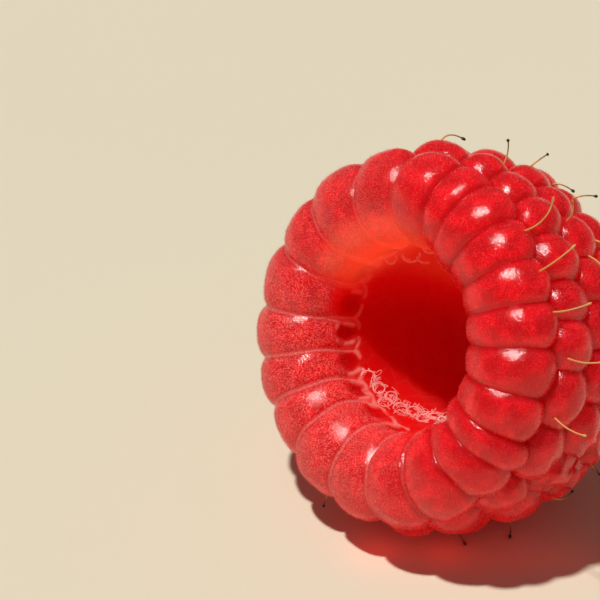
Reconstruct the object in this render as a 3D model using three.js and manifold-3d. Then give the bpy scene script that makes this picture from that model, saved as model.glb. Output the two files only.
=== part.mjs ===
// A ripe raspberry, picked and lying on its side, with its hollow mouth to the front.
//
// The berry is one grown body: plump drupelets in rings round the hollow that the plug of
// the plant leaves behind. Long drupelets roll over the rim of the mouth, round ones cover
// the rest, and the few that the berry lies on are pressed flat.
//
// Millimetres, +Z up. The berry is shaped about its own axis, which runs along Z from the
// closed tip up to the mouth, and is then laid down.

import * as THREE from 'three';
import { mergeVertices } from 'three/addons/utils/BufferGeometryUtils.js';
import Module from 'manifold-3d';

// Whole berry
const BODY_RADIUS = 11.3;
const TIP_LENGTH = 12.3;
const TIP_DROOP = 1.2;
const MOUTH_TILT = 22;
const PRESSED_DEPTH = 0.75;

// Rim of the mouth: a fat ring, its centre line in front of the widest section
const RIM_RADIUS = 8.05;
const RIM_FORWARD = 2.65;
const RIM_THICKNESS = 5.6;

// Creases between the rim drupelets, as azimuths in degrees, clockwise from the top as seen
// into the mouth. The drupelet after the crease at 100 degrees stayed small.
const RIM_CREASES = [2, 14, 28, 42, 56, 69, 84, 100, 109, 123, 143, 163, 182, 204, 222,
  240, 258, 280, 301, 323, 345];
const SMALL_DRUPELET = 7;

// Rings of round drupelets: degrees from the widest section towards the tip, and how many
const ROWS = [
  { latitude: -6.5, count: 20 },
  { latitude: 7.5, count: 20 },
  { latitude: 21.5, count: 20 },
  { latitude: 35.5, count: 18 },
  { latitude: 49, count: 15 },
  { latitude: 61.5, count: 11 },
  { latitude: 74, count: 6 },
  { latitude: 88, count: 1 },
];
const ROW_PITCH = 14;
// Each row is turned by half a crease against the last one
const ROW_SHIFT = 0.5;

// Shape of a drupelet: how far it reaches into its neighbours, how high its dome stands
// against its half width, lower on the rim, how square it is, how wide it may be against
// its length, and how deep its root goes
const OVERLAP = 1.27;
const DOME_HEIGHT = 1.4;
const RIM_DOME_HEIGHT = 0.72;
const DOME_POWER = 2.2;
const WIDEST_DRUPELET = 1.25;
const ROOT_DEPTH = 1.6;

// Unevenness of the drupelets, as parts of their own size, and of the pitch of the rows
const SIZE_SPREAD = 0.06;
const RIM_SIZE_SPREAD = 0.03;
const PLACE_SPREAD = 0.08;
const ROW_SPREAD = 0.04;

// Flesh between the drupelets lies this far below their tops
const BODY_FLESH_DEPTH = 1.7;
const RIM_FLESH_DEPTH = 0.85;

// Wall of the hollow, from its round end out to the rim: distance from the axis, then
// distance in front of the widest section
const HOLLOW_WALL = [
  [0, -7.6],
  [2.2, -7.2],
  [3.8, -5.9],
  [4.8, -3.9],
  [5.35, -1.4],
  [5.55, 0.8],
];

// Facets: sides round a drupelet, degrees from its top, degrees round the rim from its
// outside over its crest, degrees across a rim drupelet, and the flesh between them
const DOME_SIDES = 8;
const DOME_RINGS = [0, 46, 90];
const RIM_STEPS = [-12, -4, 8, 32, 62, 92, 122, 150, 176, 202, 220, 228];
const RIM_STRIPS = [-90, -45, 0, 45, 90];
const FLESH_SIDES = 30;
const FLESH_RIM_STEPS = [190, 152, 114, 76, 38, 0];
const FLESH_LATITUDES = [0, 15, 30, 45, 60, 75];
const MERGE_DISTANCE = 1e-5;

// Where the rim drupelets start to round off at their outer and inner ends, in degrees
// round the rim from its outside over its crest. Past 180 degrees they run straight on down
// the wall of the hollow.
const RIM_OUTER_TAPER = 32;
const RIM_INNER_TAPER = 176;

const rimTube = RIM_THICKNESS / 2;
const degrees = Math.PI / 180;
const randomFactor = 16807;
const randomModulus = 2147483647;
const smallMiddle = (RIM_CREASES[SMALL_DRUPELET] + RIM_CREASES[SMALL_DRUPELET + 1]) / 2;
const rowCreases = RIM_CREASES.toSpliced(SMALL_DRUPELET, 2, smallMiddle);
const wasm = await Module();
wasm.setup();

// A repeatable series of numbers from -1 to 1
let seed = 7;
function spread() {
  seed = (seed * randomFactor) % randomModulus;
  return (seed / randomModulus) * 2 - 1;
}

// Point at a distance from the axis, an azimuth in radians and a height along the axis
function aroundAxis(radius, azimuth, height) {
  return new THREE.Vector3(radius * Math.sin(azimuth), radius * Math.cos(azimuth), height);
}

// Closed geometry from points and the triangles between them
function closedGeometry(points, triangles) {
  const geometry = new THREE.BufferGeometry().setFromPoints(points);
  geometry.setIndex(triangles);
  return geometry;
}

function toSolid(geometry) {
  const bare = geometry.clone();
  bare.deleteAttribute('normal');
  bare.deleteAttribute('uv');
  const merged = mergeVertices(bare, MERGE_DISTANCE);
  return new wasm.Manifold(new wasm.Mesh({
    numProp: 3,
    vertProperties: new Float32Array(merged.attributes.position.array),
    triVerts: new Uint32Array(merged.index.array),
  }));
}

function toGeometry(solid) {
  const mesh = solid.getMesh();
  const geometry = new THREE.BufferGeometry();
  geometry.setAttribute('position', new THREE.BufferAttribute(mesh.vertProperties, 3));
  geometry.setIndex(new THREE.BufferAttribute(mesh.triVerts, 1));
  return geometry;
}

// Drops the loose scraps that joining can leave, and keeps the largest body
function largestBody(geometry) {
  const corners = geometry.index.array;
  const parent = Array.from({ length: geometry.attributes.position.count }, (_, i) => i);
  const rootOf = (corner) => {
    let root = corner;
    while (parent[root] !== root) {
      root = parent[root];
    }
    parent[corner] = root;
    return root;
  };
  for (let index = 0; index < corners.length; index += 3) {
    parent[rootOf(corners[index + 1])] = rootOf(corners[index]);
    parent[rootOf(corners[index + 2])] = rootOf(corners[index]);
  }
  const bodies = new Map();
  for (let index = 0; index < corners.length; index += 3) {
    const root = rootOf(corners[index]);
    const body = bodies.get(root) ?? [];
    body.push(corners[index], corners[index + 1], corners[index + 2]);
    bodies.set(root, body);
  }
  const largest = [...bodies.values()].sort((one, other) => other.length - one.length)[0];
  const kept = geometry.clone();
  kept.setIndex(largest);
  return kept;
}

// Height of a dome, from 1 at its top to 0 at its edge
function dome(across) {
  return Math.sqrt(Math.max(0, 1 - Math.abs(across) ** DOME_POWER));
}

// Azimuth at a place counted in creases, which run on past a whole turn
function azimuthAt(creases, place) {
  const count = creases.length;
  const whole = Math.floor(place);
  const turns = Math.floor(whole / count);
  const index = whole - turns * count;
  const start = creases[index];
  const end = index + 1 < count ? creases[index + 1] : creases[0] + 360;
  return (start + (end - start) * (place - whole) + turns * 360) * degrees;
}

// The tip hangs below the berry's axis
function droop(point) {
  const back = Math.min(0, point.z) / TIP_LENGTH;
  return point.setY(point.y - TIP_DROOP * back ** 2);
}

// How far round the rim a step has come into the rounded ends of a rim drupelet, 0 to 1
function endShare(step) {
  const first = RIM_STEPS[0];
  const last = RIM_STEPS[RIM_STEPS.length - 1];
  const outer = (RIM_OUTER_TAPER - step) / (RIM_OUTER_TAPER - first);
  const inner = (step - RIM_INNER_TAPER) / (last - RIM_INNER_TAPER);
  return Math.max(0, outer, inner);
}

// One long drupelet that rolls over the rim, a wedge with two rounded ends
function rimDrupelet(index) {
  const azimuth = azimuthAt(RIM_CREASES, index + 0.5);
  const halfAngle = (azimuthAt(RIM_CREASES, index + 1) - azimuthAt(RIM_CREASES, index)) / 2;
  const tube = rimTube * (1 + RIM_SIZE_SPREAD * spread());

  function surface(step, share) {
    const end = endShare(step) ** DOME_POWER;
    const width = Math.max(0, 1 - end) ** (1 / DOME_POWER);
    const across = (end + (1 - end) * Math.abs(share) ** DOME_POWER) ** (1 / DOME_POWER);
    const angle = Math.min(180, step) * degrees;
    const depth = Math.max(0, step - 180) * degrees * tube;
    const halfWidth = (RIM_RADIUS + tube * Math.cos(angle)) * halfAngle;
    const reach = tube - RIM_DOME_HEIGHT * halfWidth * (1 - dome(across));
    return aroundAxis(
      RIM_RADIUS + reach * Math.cos(angle),
      azimuth + share * width * OVERLAP * halfAngle,
      RIM_FORWARD + reach * Math.sin(angle) - depth,
    );
  }

  const points = [surface(RIM_STEPS[0], 0)];
  const triangles = [];
  const columns = RIM_STRIPS.length;
  for (const step of RIM_STEPS.slice(1, -1)) {
    for (const strip of RIM_STRIPS) {
      points.push(surface(step, Math.sin(strip * degrees)));
    }
  }
  const end = points.length;
  points.push(surface(RIM_STEPS[RIM_STEPS.length - 1], 0));
  const root = points.length;
  points.push(aroundAxis(RIM_RADIUS, azimuth, RIM_FORWARD));

  const rows = RIM_STEPS.length - 2;
  for (let column = 0; column < columns - 1; column += 1) {
    triangles.push(0, 1 + column, 2 + column);
    for (let row = 0; row < rows - 1; row += 1) {
      const corner = 1 + row * columns + column;
      triangles.push(corner, corner + columns + 1, corner + 1);
      triangles.push(corner, corner + columns, corner + columns + 1);
    }
    const corner = 1 + (rows - 1) * columns + column;
    triangles.push(corner, end, corner + 1);
  }
  // Both long edges and both ends run down to the root inside the rim
  const edge = [0];
  for (let row = 0; row < rows; row += 1) {
    edge.push(1 + row * columns);
  }
  edge.push(end);
  for (let row = rows - 1; row >= 0; row -= 1) {
    edge.push(row * columns + columns);
  }
  edge.forEach((corner, place) => {
    triangles.push(root, edge[(place + 1) % edge.length], corner);
  });
  return closedGeometry(points, triangles);
}

// One round drupelet of the body, a dome with its root inside the flesh
function bodyDrupelet(place, latitude, spacing) {
  const azimuth = azimuthAt(rowCreases, place + PLACE_SPREAD * spread());
  const tilt = (latitude + ROW_SPREAD * ROW_PITCH * spread()) * degrees;
  const length = tilt > 0 ? TIP_LENGTH : BODY_RADIUS;
  const size = 1 + SIZE_SPREAD * spread();
  const top = aroundAxis(BODY_RADIUS * Math.cos(tilt), azimuth, -length * Math.sin(tilt));
  const outward = aroundAxis(Math.cos(tilt), azimuth, -Math.sin(tilt));
  const along = new THREE.Vector3(Math.cos(azimuth), -Math.sin(azimuth), 0);
  const across = new THREE.Vector3().crossVectors(outward, along);

  const halfLength = ROW_PITCH * degrees * BODY_RADIUS / 2;
  const halfWidth = Math.min(spacing, WIDEST_DRUPELET * halfLength);
  const height = DOME_HEIGHT * (halfWidth + halfLength) / 2 * size;
  const middle = top.clone().addScaledVector(outward, (size - 1) * height - height);

  function surface(ring, side) {
    const out = Math.sin(ring * degrees);
    const turn = side * 2 * Math.PI / DOME_SIDES;
    return middle.clone()
      .addScaledVector(along, OVERLAP * size * halfWidth * out * Math.cos(turn))
      .addScaledVector(across, OVERLAP * size * halfLength * out * Math.sin(turn))
      .addScaledVector(outward, height * dome(out));
  }

  const points = [surface(0, 0)];
  const triangles = [];
  for (const ring of DOME_RINGS.slice(1)) {
    for (let side = 0; side < DOME_SIDES; side += 1) {
      points.push(surface(ring, side));
    }
  }
  const root = points.length;
  points.push(middle.clone().addScaledVector(outward, -ROOT_DEPTH));

  points.forEach(droop);
  const rings = DOME_RINGS.length - 1;
  for (let side = 0; side < DOME_SIDES; side += 1) {
    const next = (side + 1) % DOME_SIDES;
    triangles.push(0, 1 + side, 1 + next);
    for (let ring = 0; ring < rings - 1; ring += 1) {
      const inner = 1 + ring * DOME_SIDES;
      const outer = inner + DOME_SIDES;
      triangles.push(inner + side, outer + side, outer + next);
      triangles.push(inner + side, outer + next, inner + next);
    }
    const last = 1 + (rings - 1) * DOME_SIDES;
    triangles.push(last + side, root, last + next);
  }
  return closedGeometry(points, triangles);
}

// Flesh that joins the drupelets, between the wall of the hollow and their roots
function fleshGeometry() {
  const profile = HOLLOW_WALL.map(([radius, height]) => new THREE.Vector2(radius, height));
  const rimFlesh = rimTube - RIM_FLESH_DEPTH;
  for (const step of FLESH_RIM_STEPS) {
    profile.push(new THREE.Vector2(
      RIM_RADIUS + rimFlesh * Math.cos(step * degrees),
      RIM_FORWARD + rimFlesh * Math.sin(step * degrees),
    ));
  }
  const fleshRadius = BODY_RADIUS - BODY_FLESH_DEPTH;
  const fleshLength = TIP_LENGTH - BODY_FLESH_DEPTH;
  for (const latitude of FLESH_LATITUDES) {
    profile.push(new THREE.Vector2(
      fleshRadius * Math.cos(latitude * degrees),
      -fleshLength * Math.sin(latitude * degrees),
    ));
  }
  profile.push(new THREE.Vector2(0, -fleshLength));
  // The outline runs from the hollow's end to the tip, so it is turned round to face out
  const lathe = new THREE.LatheGeometry(profile.reverse(), FLESH_SIDES);
  lathe.rotateX(Math.PI / 2);
  const points = lathe.attributes.position;
  for (let index = 0; index < points.count; index += 1) {
    const point = droop(new THREE.Vector3().fromBufferAttribute(points, index));
    points.setY(index, point.y);
  }
  return lathe;
}

// Whole berry about its own axis
function uprightBerry() {
  let berry = toSolid(fleshGeometry());
  RIM_CREASES.forEach((crease, index) => {
    berry = berry.add(toSolid(rimDrupelet(index)));
  });
  // The first row sits in the creases of the rim, and each next row between the last one's
  ROWS.forEach((row, rowIndex) => {
    const share = rowCreases.length / row.count;
    for (let index = 0; index < row.count; index += 1) {
      const place = ROW_SHIFT * rowIndex + index * share;
      const start = azimuthAt(rowCreases, place - share / 2);
      const end = azimuthAt(rowCreases, place + share / 2);
      const spacing = BODY_RADIUS * Math.cos(row.latitude * degrees) * (end - start) / 2;
      berry = berry.add(toSolid(bodyDrupelet(place, row.latitude, spacing)));
    }
  });
  return berry;
}

// Lays the berry on its side, presses flat what it lies on, and sets it on the surface
// with its origin below its middle
function layDown(upright) {
  const laid = toGeometry(upright).rotateX((90 - MOUTH_TILT) * degrees);
  laid.computeBoundingBox();
  const box = laid.boundingBox;
  const floor = box.min.z + PRESSED_DEPTH;
  const slab = 2 * (box.max.x - box.min.x);
  const below = new THREE.BoxGeometry(slab, slab, slab);
  below.translate(0, 0, floor - slab / 2);
  const pressed = largestBody(toGeometry(toSolid(laid).subtract(toSolid(below))));
  pressed.computeBoundingBox();
  const middle = pressed.boundingBox.getCenter(new THREE.Vector3());
  return pressed.translate(-middle.x, -middle.y, -floor);
}

const flesh = new THREE.MeshStandardMaterial({
  color: 0xc8161d,
  roughness: 0.45,
  metalness: 0,
});

const raspberry = new THREE.Mesh(layDown(uprightBerry()), flesh);
raspberry.name = 'raspberry';

const group = new THREE.Group();
group.add(raspberry);

export default group;
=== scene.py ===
"""Looks of a ripe raspberry that lies on its side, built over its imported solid.

Lengths are in millimetres until a mesh is made, and the frame is in metres.
"""

import math

import bmesh
import bpy
import numpy as np
from mathutils import Matrix, Vector
from mathutils.bvhtree import BVHTree
from mathutils.kdtree import KDTree


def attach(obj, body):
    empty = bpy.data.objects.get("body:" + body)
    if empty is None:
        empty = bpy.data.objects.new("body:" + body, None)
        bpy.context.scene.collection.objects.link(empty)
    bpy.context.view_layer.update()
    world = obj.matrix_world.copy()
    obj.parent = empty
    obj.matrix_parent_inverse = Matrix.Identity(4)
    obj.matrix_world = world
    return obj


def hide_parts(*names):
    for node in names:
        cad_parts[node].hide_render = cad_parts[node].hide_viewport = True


bl_info = {
    "name": "Raspberry",
    "version": (1, 0, 0),
    "blender": (4, 5, 0),
    "location": "View3D > Sidebar > Raspberry",
    "description": "Builds a raspberry with its drupelets, down and dried styles",
    "category": "Object",
}

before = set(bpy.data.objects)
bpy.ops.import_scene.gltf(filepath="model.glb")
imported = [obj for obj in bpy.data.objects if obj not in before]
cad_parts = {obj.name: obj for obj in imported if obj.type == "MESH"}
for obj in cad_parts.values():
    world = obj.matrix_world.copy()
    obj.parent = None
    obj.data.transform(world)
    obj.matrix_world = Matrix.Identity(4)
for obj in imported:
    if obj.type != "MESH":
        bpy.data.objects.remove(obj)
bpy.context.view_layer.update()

MM = 0.001

# Shape of the berry, as the solid has it
BODY_CENTRE = np.array((-0.069, -1.747, 10.776))
BODY_RADIUS = 11.3
TIP_LENGTH = 12.3
TIP_DROOP = 1.2
MOUTH_TILT = 22
RIM_RADIUS = 8.05
RIM_FORWARD = 2.65
RIM_THICKNESS = 5.6
RIM_CREASES = (2, 14, 28, 42, 56, 69, 84, 100, 109, 123, 143, 163, 182, 204, 222, 240, 258,
               280, 301, 323, 345)
SMALL_DRUPELET = 7
ROWS = ((-6.5, 20), (7.5, 20), (21.5, 20), (35.5, 18), (49, 15), (61.5, 11), (74, 6), (88, 1))
ROW_PITCH = 14
ROW_SHIFT = 0.5
OVERLAP = 1.27
DOME_HEIGHT = 1.4
RIM_DOME_HEIGHT = 0.72
DOME_POWER = 2.2
WIDEST_DRUPELET = 1.25
ROOT_DEPTH = 1.6
SIZE_SPREAD = 0.06
RIM_SIZE_SPREAD = 0.03
PLACE_SPREAD = 0.08
ROW_SPREAD = 0.04
BODY_FLESH_DEPTH = 1.7
RIM_FLESH_DEPTH = 0.85
HOLLOW_WALL = ((0, -7.6), (2.2, -7.2), (3.8, -5.9), (4.8, -3.9), (5.35, -1.4), (5.55, 0.8))
HOLLOW_DEPTH = 8.8
RIM_ENDS = (-12, 228)
RIM_TAPERS = (32, 176)

# Sunken oval in the inner end of a rim drupelet: its middle and half length in degrees
# round the rim, its half width as a share of the drupelet's, and its depth
DENT_STEP = 197
DENT_STEPS = 27
DENT_WIDTH = 0.66
DENT_DEPTH = 0.34

# Where small crowded drupelets fold: azimuth in degrees, depth behind the axis' zero, reach
WRINKLED_PLACE = (112, 2.2)
WRINKLED_REACH = 4.5

# Fineness of the meshes
DOME_SIDES = 44
DOME_RINGS = 13
RIM_END_ROWS = 10
RIM_MIDDLE_ROWS = 30
RIM_COLUMNS = 31
FLESH_SIDES = 96
CREASE_ANGLE = math.radians(32)

# The camera: the middle of the rim as it sees it, in degrees, millimetres and pixels
VIEW_AZIMUTH = 45.5
VIEW_ELEVATION = 32
VIEW_DISTANCE = 120
PICTURE_SIZE = 600
RIM_PIXEL = (408.5, 335)
PIXELS_PER_MM = 17.68

HAIR_WIDTH = 0.012

# Torn skin round the hollow where the photograph shows it: pixels of a loop's middle, its half
# width and half height, and its two ends in degrees, clockwise from the right
LOOP_STEPS = 15
LOOP_LIFT = 0.9
SEEN_MEMBRANES = (
    ((390.9, 257.2), (5.5, 6.5), -20, 200),
    ((411, 254), (9, 8), -20, 180),
    ((407.5, 254), (5, 6), 60, 200),
    ((430, 247), (7, 6), 10, 170),
    ((425, 256), (8, 7), 60, 190),
)
SEEN_RINGS = (
    ((368, 377), (7, 6.5), 190, 400),
    ((379, 388), (6, 5), 0, 360),
    ((391, 396), (6, 4.5), 0, 360),
    ((385, 402), (7, 4.5), 0, 360),
    ((400, 408.7), (7, 6), 0, 360),
    ((413, 411), (6, 4.5), 0, 360),
    ((423, 418), (6.5, 3.6), 0, 360),
    ((434, 416), (6, 3), 0, 360),
    ((442, 419), (4, 2.5), 0, 360),
)
FLUFF_SPREAD = 1.6

# The red light that comes out below the berry's near side: the place, size and share of
# each part of it
GLOWS = (((3.3, -7.0, 1.7), (5.5, 1.0), 1.1), ((8.0, -2.6, 2.4), (9, 1.5), 0.6))

# Dried styles where the photograph shows them: pixels of the root, middle and tip, and how
# dry the tip is
STYLE_SIDES = 7
SEEN_STYLES = (
    ((439.8, 141), (449.5, 134.3), (465.8, 140.3), 1.0),
    ((504.8, 166), (508.3, 152), (507.8, 138.7), 1.0),
    ((529.8, 163.6), (539.5, 159.0), (548.8, 153.6), 1.0),
    ((553, 184), (562, 184.4), (574.8, 192.4), 1.0),
    ((573.2, 198.3), (583.5, 195.4), (598, 196.7), 1.0),
    ((524.4, 229.8), (544.5, 218.2), (553.6, 196.2), 0.5),
    ((539.5, 271), (557.5, 259.5), (575.9, 244.4), 0.4),
    ((565.6, 220), (572.6, 211.5), (572, 199.4), 0.55),
    ((588.4, 255.8), (602.5, 268), (592.7, 280.8), 0.35),
    ((553, 311), (571, 309.5), (592, 302.5), 0.4),
    ((567, 359), (584, 363), (604, 362), 0.4),
    ((553.3, 418.4), (569, 430), (587, 436.2), 0.3),
    ((588, 463.8), (594.5, 468.5), (600, 475.5), 1.0),
    ((551, 498), (562.5, 499.5), (573.7, 489.8), 1.0),
    ((452, 512), (457.3, 530), (466, 544.9), 0.85),
    ((509.4, 517.3), (510.6, 527), (509.9, 537.8), 1.0),
    ((329, 489), (326.5, 498), (323, 507.5), 1.0),
)
# Those of them that grow from below, out of the picture's sight, and the room left to the floor
UNDER_STYLES = ((452, 512), (509.4, 517.3), (329, 489))
STYLE_CLEARANCE = 0.14

rim_tube = RIM_THICKNESS / 2
small_middle = (RIM_CREASES[SMALL_DRUPELET] + RIM_CREASES[SMALL_DRUPELET + 1]) / 2
row_creases = RIM_CREASES[:SMALL_DRUPELET] + (small_middle,) + RIM_CREASES[SMALL_DRUPELET + 2:]
tilt = math.radians(MOUTH_TILT)
# Rows are the berry's own axes in the frame: right, up side, and out of the mouth
berry_axes = np.array((
    (1, 0, 0),
    (0, math.sin(tilt), math.cos(tilt)),
    (0, -math.cos(tilt), math.sin(tilt)),
))


# Shape of the berry about its own axis


def around_axis(radius, azimuth, height):
    """Points at a distance from the axis, an azimuth in radians and a height on the axis."""
    return np.stack(np.broadcast_arrays(
        radius * np.sin(azimuth), radius * np.cos(azimuth), height), -1)


def to_frame(points):
    return points @ berry_axes + BODY_CENTRE


def to_berry(points):
    return (points - BODY_CENTRE) @ berry_axes.T


def dome(across):
    """Height of a dome, from 1 at its top to 0 at its edge."""
    return np.sqrt(np.clip(1 - np.abs(across) ** DOME_POWER, 0, None))


def azimuth_at(creases, place):
    """Azimuth at a place counted in creases, which run on past a whole turn."""
    whole = math.floor(place)
    turns, index = divmod(whole, len(creases))
    start = creases[index]
    end = creases[index + 1] if index + 1 < len(creases) else creases[0] + 360
    return math.radians(start + (end - start) * (place - whole) + turns * 360)


def droop(points):
    """The tip hangs below the berry's axis."""
    back = np.minimum(0, points[..., 2]) / TIP_LENGTH
    drooped = points.copy()
    drooped[..., 1] -= TIP_DROOP * back ** 2
    return drooped


class Spread:
    """The repeatable series of numbers from -1 to 1 that the solid is drawn from."""

    def __init__(self, seed=7):
        self.seed = seed

    def __call__(self):
        self.seed = self.seed * 16807 % 2147483647
        return self.seed / 2147483647 * 2 - 1


def waves(points, wavelength, seed, count=16):
    """A smooth random field over points, mostly from -1 to 1."""
    draw = np.random.default_rng(seed)
    direction = draw.normal(size=(count, 3))
    direction *= 2 * np.pi / wavelength / np.linalg.norm(direction, axis=1, keepdims=True)
    phase = draw.uniform(0, 2 * np.pi, count)
    return np.sin(points @ direction.T + phase).sum(-1) / np.sqrt(2 * count)


def smooth(value, low, high):
    """0 below low and 1 above high, with a soft step between them."""
    share = np.clip((value - low) / (high - low), 0, 1)
    return share * share * (3 - 2 * share)


def rim_drupelet(index, spread):
    """Points and faces of one long drupelet that rolls over the rim."""
    azimuth = azimuth_at(RIM_CREASES, index + 0.5)
    half_angle = (azimuth_at(RIM_CREASES, index + 1) - azimuth_at(RIM_CREASES, index)) / 2
    tube = rim_tube * (1 + RIM_SIZE_SPREAD * spread())
    end_rows = np.cos(np.linspace(0, np.pi / 2, RIM_END_ROWS, endpoint=False))
    middle = np.linspace(*RIM_TAPERS, RIM_MIDDLE_ROWS)
    step = np.concatenate((
        RIM_TAPERS[0] - end_rows * (RIM_TAPERS[0] - RIM_ENDS[0]),
        middle,
        (RIM_TAPERS[1] + end_rows * (RIM_ENDS[1] - RIM_TAPERS[1]))[::-1],
    ))[:, None]
    end = np.concatenate((end_rows, 0 * middle, end_rows[::-1]))[:, None] ** DOME_POWER
    share = np.sin(np.linspace(-np.pi / 2, np.pi / 2, RIM_COLUMNS))[None, :]
    width = (1 - end) ** (1 / DOME_POWER)
    across = (end + (1 - end) * np.abs(share) ** DOME_POWER) ** (1 / DOME_POWER)
    angle = np.radians(np.minimum(180, step))
    depth = np.radians(np.maximum(0, step - 180)) * tube
    half_width = (RIM_RADIUS + tube * np.cos(angle)) * half_angle
    reach = tube - RIM_DOME_HEIGHT * half_width * (1 - dome(across))
    # The inner end has a sunken oval, where the skin tore off the plug
    oval = np.hypot((step - DENT_STEP) / DENT_STEPS, share / DENT_WIDTH)
    reach = reach - DENT_DEPTH * (1 - smooth(oval, 0.35, 1.0))
    grid = around_axis(
        RIM_RADIUS + reach * np.cos(angle),
        azimuth + share * width * OVERLAP * half_angle,
        RIM_FORWARD + reach * np.sin(angle) - depth)
    rows, columns = grid.shape[0] - 2, grid.shape[1]
    root = around_axis(RIM_RADIUS, azimuth, RIM_FORWARD)
    points = np.vstack((grid[0, :1], grid[1:-1].reshape(-1, 3), grid[-1, :1], root[None]))
    end_point, root_point = len(points) - 2, len(points) - 1
    corner = 1 + np.arange(rows * columns).reshape(rows, columns)
    faces = [(0, corner[0, i], corner[0, i + 1]) for i in range(columns - 1)]
    for row in range(rows - 1):
        for i in range(columns - 1):
            faces.append((corner[row, i], corner[row + 1, i], corner[row + 1, i + 1],
                          corner[row, i + 1]))
    faces += [(corner[-1, i], end_point, corner[-1, i + 1]) for i in range(columns - 1)]
    edge = [0, *corner[:, 0], end_point, *corner[::-1, -1]]
    faces += [(root_point, edge[(i + 1) % len(edge)], edge[i]) for i in range(len(edge))]
    return points, faces


def body_drupelet(place, latitude, spacing, spread):
    """Points and faces of one round drupelet of the body."""
    azimuth = azimuth_at(row_creases, place + PLACE_SPREAD * spread())
    lean = math.radians(latitude + ROW_SPREAD * ROW_PITCH * spread())
    length = TIP_LENGTH if lean > 0 else BODY_RADIUS
    size = 1 + SIZE_SPREAD * spread()
    top = around_axis(BODY_RADIUS * math.cos(lean), azimuth, -length * math.sin(lean))
    outward = around_axis(math.cos(lean), azimuth, -math.sin(lean))
    along = np.array((math.cos(azimuth), -math.sin(azimuth), 0))
    across = np.cross(outward, along)
    half_length = math.radians(ROW_PITCH) * BODY_RADIUS / 2
    half_width = min(spacing, WIDEST_DRUPELET * half_length)
    height = DOME_HEIGHT * (half_width + half_length) / 2 * size
    middle = top + outward * ((size - 1) * height - height)
    out = np.sin(np.linspace(0, np.pi / 2, DOME_RINGS + 1))[1:, None]
    turn = np.linspace(0, 2 * np.pi, DOME_SIDES, endpoint=False)[None, :]
    reach = OVERLAP * size * out
    rings = (middle
             + (reach * half_width * np.cos(turn))[..., None] * along
             + (reach * half_length * np.sin(turn))[..., None] * across
             + (height * dome(out) * np.ones_like(turn))[..., None] * outward)
    summit = middle + height * outward
    root = middle - ROOT_DEPTH * outward
    points = droop(np.vstack((summit[None], rings.reshape(-1, 3), root[None])))
    corner = 1 + np.arange(DOME_RINGS * DOME_SIDES).reshape(DOME_RINGS, DOME_SIDES)
    after = np.roll(corner, -1, axis=1)
    faces = [(0, corner[0, i], after[0, i]) for i in range(DOME_SIDES)]
    for ring in range(DOME_RINGS - 1):
        for i in range(DOME_SIDES):
            faces.append((corner[ring, i], corner[ring + 1, i], after[ring + 1, i],
                          after[ring, i]))
    faces += [(corner[-1, i], len(points) - 1, after[-1, i]) for i in range(DOME_SIDES)]
    return points, faces


def flesh_core():
    """Points and faces of the flesh that joins the drupelets round the hollow."""
    rim_flesh = rim_tube - RIM_FLESH_DEPTH
    round_rim = np.radians(np.linspace(190, 0, 11))
    latitude = np.radians(np.linspace(0, 90, 13)[:-1])
    radius = BODY_RADIUS - BODY_FLESH_DEPTH
    length = TIP_LENGTH - BODY_FLESH_DEPTH
    wall = np.array(HOLLOW_WALL)
    finer = np.linspace(0, len(wall) - 1, 4 * len(wall))[1:]
    wall = np.stack([np.interp(finer, range(len(wall)), wall[:, i]) for i in (0, 1)], 1)
    profile = np.vstack((
        wall,
        np.stack((RIM_RADIUS + rim_flesh * np.cos(round_rim),
                  RIM_FORWARD + rim_flesh * np.sin(round_rim)), 1),
        np.stack((radius * np.cos(latitude), -length * np.sin(latitude)), 1),
    ))
    turn = np.linspace(0, 2 * np.pi, FLESH_SIDES, endpoint=False)[None, :]
    rings = around_axis(profile[:, :1], turn, profile[:, 1:])
    ends = np.array(((0, 0, HOLLOW_WALL[0][1]), (0, 0, -length)))
    points = droop(np.vstack((rings.reshape(-1, 3), ends)))
    corner = np.arange(rings.shape[0] * FLESH_SIDES).reshape(-1, FLESH_SIDES)
    after = np.roll(corner, -1, axis=1)
    first, last = len(points) - 2, len(points) - 1
    faces = []
    for i in range(FLESH_SIDES):
        faces.append((first, after[0, i], corner[0, i]))
        faces.append((last, corner[-1, i], after[-1, i]))
        for row in range(len(corner) - 1):
            faces.append((corner[row, i], after[row, i], after[row + 1, i],
                          corner[row + 1, i]))
    return points, faces


# Meshes


def new_mesh(name, points, faces):
    """A mesh in metres from points in millimetres and their faces."""
    mesh = bpy.data.meshes.new(name)
    mesh.from_pydata((np.asarray(points) * MM).tolist(), [], [list(map(int, f)) for f in faces])
    mesh.update()
    return mesh


def triangle_mesh(name, points):
    """A mesh of loose triangles, from their corners in millimetres, three by three."""
    count = len(points)
    mesh = bpy.data.meshes.new(name)
    mesh.vertices.add(count)
    mesh.loops.add(count)
    mesh.polygons.add(count // 3)
    mesh.vertices.foreach_set("co", (points * MM).astype(np.float32).ravel())
    mesh.loops.foreach_set("vertex_index", np.arange(count, dtype=np.int32))
    mesh.polygons.foreach_set("loop_start", np.arange(0, count, 3, dtype=np.int32))
    mesh.update(calc_edges=True)
    return mesh


def new_object(name, mesh):
    obj = bpy.data.objects.new(name, mesh)
    bpy.context.scene.collection.objects.link(obj)
    return obj


def paint(mesh, name, values):
    """Writes one number for each point of a mesh."""
    layer = mesh.attributes.get(name) or mesh.attributes.new(name, "FLOAT", "POINT")
    layer.data.foreach_set("value", np.asarray(values, np.float32))


def painted(mesh, name):
    values = np.zeros(len(mesh.vertices), np.float32)
    mesh.attributes[name].data.foreach_get("value", values)
    return values.astype(float)


def mesh_points(mesh):
    """Points of a mesh in millimetres."""
    points = np.zeros(len(mesh.vertices) * 3, np.float32)
    mesh.vertices.foreach_get("co", points)
    return points.reshape(-1, 3).astype(float) / MM


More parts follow.
